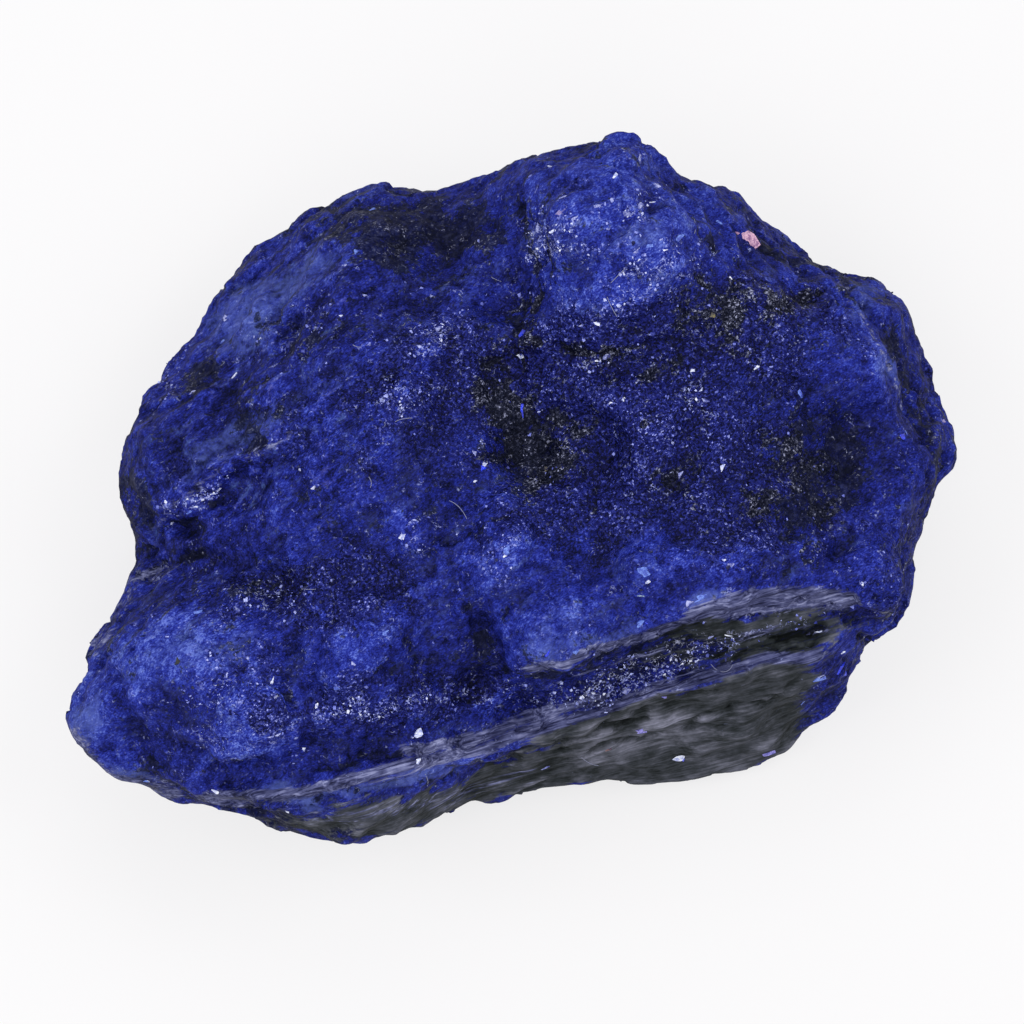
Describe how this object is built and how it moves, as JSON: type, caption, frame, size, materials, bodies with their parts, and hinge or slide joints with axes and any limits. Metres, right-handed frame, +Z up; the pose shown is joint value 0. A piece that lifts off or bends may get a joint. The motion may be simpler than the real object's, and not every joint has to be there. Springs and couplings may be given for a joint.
{
  "type": "rough sapphire",
  "caption": "Uncut sapphire: one blocky broken stone with a ledged front face, a raised crown at the back and a flat base that it lies on.",
  "frame": {"origin": "middle of the stone's bounding box, at floor level: the flat base lies in the plane z = 0", "axes": "+X along the stone's length, from its rounded nose to its square corner block; +Y from the ledged front face to the back; +Z up from the flat base"},
  "size_m": [0.0294, 0.0236, 0.0138],
  "materials": {
    "sapphire_blue": "deep royal blue to near-black granular stone, grainy and glittering where it is broken, with greyish fibrous bands along the front ledges and a few pale grains"
  },
  "bodies": {
    "root": {"rough_sapphire": "sapphire_blue"}
  },
  "joints": []
}
